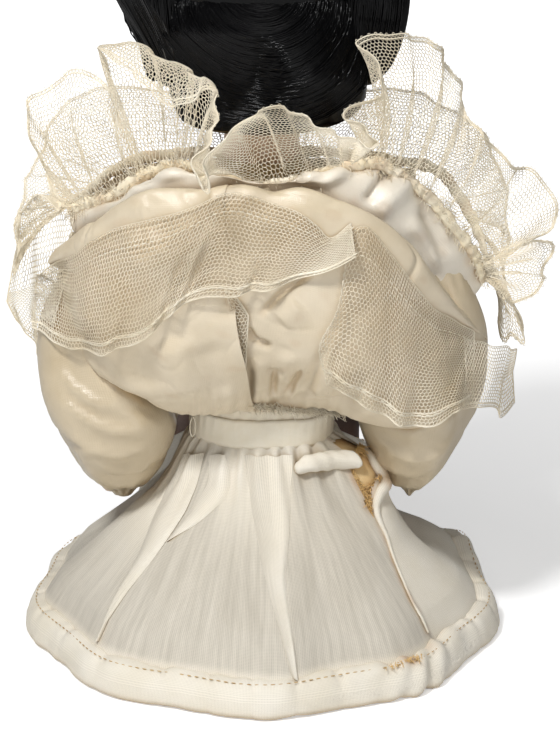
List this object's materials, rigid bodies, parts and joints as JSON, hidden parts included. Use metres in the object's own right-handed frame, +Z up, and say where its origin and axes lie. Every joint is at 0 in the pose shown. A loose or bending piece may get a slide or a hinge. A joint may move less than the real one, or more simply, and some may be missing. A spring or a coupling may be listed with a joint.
{
  "type": "cloth doll",
  "caption": "Seated cloth doll in a cream satin bodice with puffed sleeves, standing net ruffle, net drapes and a muslin skirt with a padded hem; head, arms and legs turn.",
  "frame": {"origin": "middle of the flat underside of the seat, on the floor", "axes": "+Z up, the doll faces -Y, +X is the doll's left"},
  "size_m": [0.1825, 0.22, 0.3],
  "materials": {
    "calico": "unbleached plain weave, matt",
    "satin": "cream silk satin, soft sheen",
    "net": "cream cotton net, matt",
    "muslin": "cream muslin, matt",
    "tape": "cream cotton tape, matt",
    "hair": "black hair, glossy",
    "painted_cloth": "cloth sized and painted in flesh colour, satin gloss",
    "stocking": "white cotton knit, matt",
    "shoe_leather": "dark brown, half matt",
    "post_wood": "plain turned dowel",
    "joint_thread": "waxed linen thread",
    "bone": "pale, bone-like, half matt"
  },
  "bodies": {
    "torso": {"trunk": "calico", "neck_post": "post_wood", "shoulder_thread": "joint_thread", "hip_thread": "joint_thread", "waistband": "tape", "bodice_waist_tape": "tape", "skirt": "muslin", "skirt_hem": "muslin", "skirt_tuck": "muslin", "bodice_front": "satin", "bodice_back_left": "satin", "bodice_back_right": "satin", "neckline_band": "tape", "standing_ruffle": "net", "left_net_drape": "net", "right_net_drape": "net", "left_shoulder_button": "bone", "right_shoulder_button": "bone", "left_hip_button": "bone", "right_hip_button": "bone"},
    "head": {"head_form": "painted_cloth", "hair_left_roll": "hair", "hair_right_roll": "hair", "hair_back_lobe": "hair", "hair_front_roll": "hair", "hair_crown": "hair", "hair_knot": "hair"},
    "left_arm": {"left_arm_form": "calico", "left_hand": "painted_cloth", "left_sleeve": "satin"},
    "right_arm": {"right_arm_form": "calico", "right_hand": "painted_cloth", "right_sleeve": "satin"},
    "left_leg": {"left_leg_form": "stocking", "left_shoe": "shoe_leather"},
    "right_leg": {"right_leg_form": "stocking", "right_shoe": "shoe_leather"}
  },
  "joints": [
    {"name": "head_turn", "type": "hinge", "parent": "torso", "child": "head", "pos_m": [0, 0, 0.188], "axis": [0, 0, 1], "range_deg": [-35, 35]},
    {"name": "left_shoulder", "type": "hinge", "parent": "torso", "child": "left_arm", "pos_m": [0.0564, 0, 0.136], "axis": [-1, 0, 0], "range_deg": [0, 55]},
    {"name": "right_shoulder", "type": "hinge", "parent": "torso", "child": "right_arm", "pos_m": [-0.0564, 0, 0.136], "axis": [-1, 0, 0], "range_deg": [0, 55]},
    {"name": "left_hip", "type": "hinge", "parent": "torso", "child": "left_leg", "pos_m": [0.0303, -0.004, 0.014], "axis": [1, 0, 0], "range_deg": [0, 90]},
    {"name": "right_hip", "type": "hinge", "parent": "torso", "child": "right_leg", "pos_m": [-0.0303, -0.004, 0.014], "axis": [1, 0, 0], "range_deg": [0, 90]}
  ]
}
